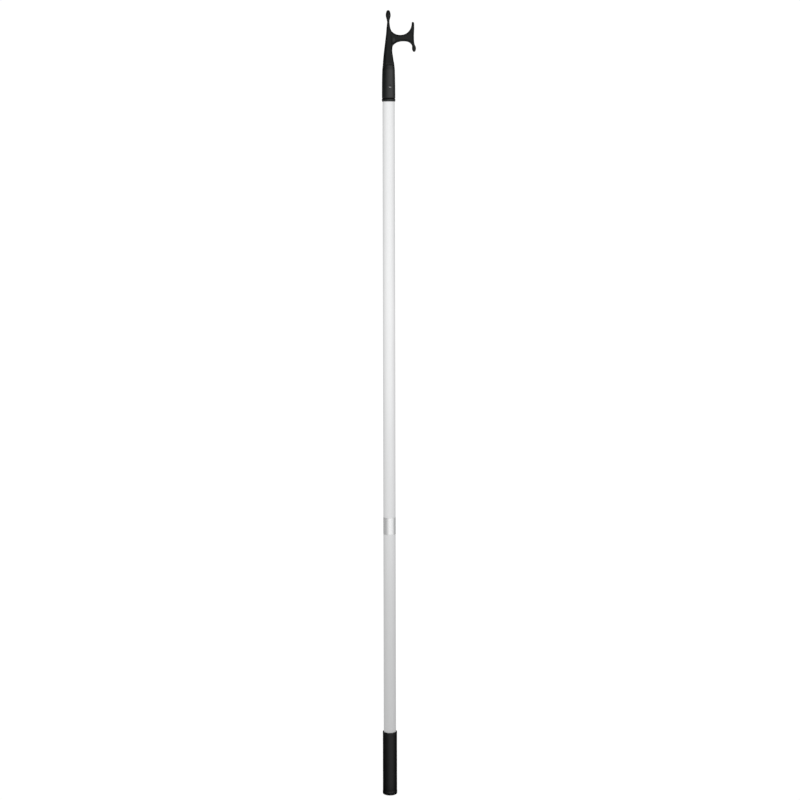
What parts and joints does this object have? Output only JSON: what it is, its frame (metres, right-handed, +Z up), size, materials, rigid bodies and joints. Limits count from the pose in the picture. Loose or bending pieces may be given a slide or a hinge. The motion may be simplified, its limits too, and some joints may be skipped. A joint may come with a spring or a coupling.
{
  "type": "boat hook",
  "caption": "Straight aluminium pole with a black nylon boat-hook head, with a straight spike, an open fork and a downward hook, and a closed black grip at its foot.",
  "frame": {"origin": "centre of the flat closed end of the hand grip", "axes": "+Z up the pole to the spike, +X the way the hook points, -Y the front, where the front rivet's head shows"},
  "size_m": [0.0816, 0.0332, 1.8],
  "materials": {
    "head_nylon": "satin",
    "pole_alloy": "satin",
    "grip_vinyl": "satin",
    "label_foil": "gloss",
    "rivet_black": "gloss",
    "mandrel_steel": "satin",
    "plug_foam": "matte"
  },
  "bodies": {
    "root": {"hook_head": "head_nylon", "pole_tube": "pole_alloy", "hand_grip": "grip_vinyl", "label_band": "label_foil", "rivet_front": "rivet_black", "rivet_back": "rivet_black", "rivet_mandrel_front": "mandrel_steel", "rivet_mandrel_back": "mandrel_steel", "upper_foam_plug": "plug_foam", "lower_foam_plug": "plug_foam"}
  },
  "joints": []
}
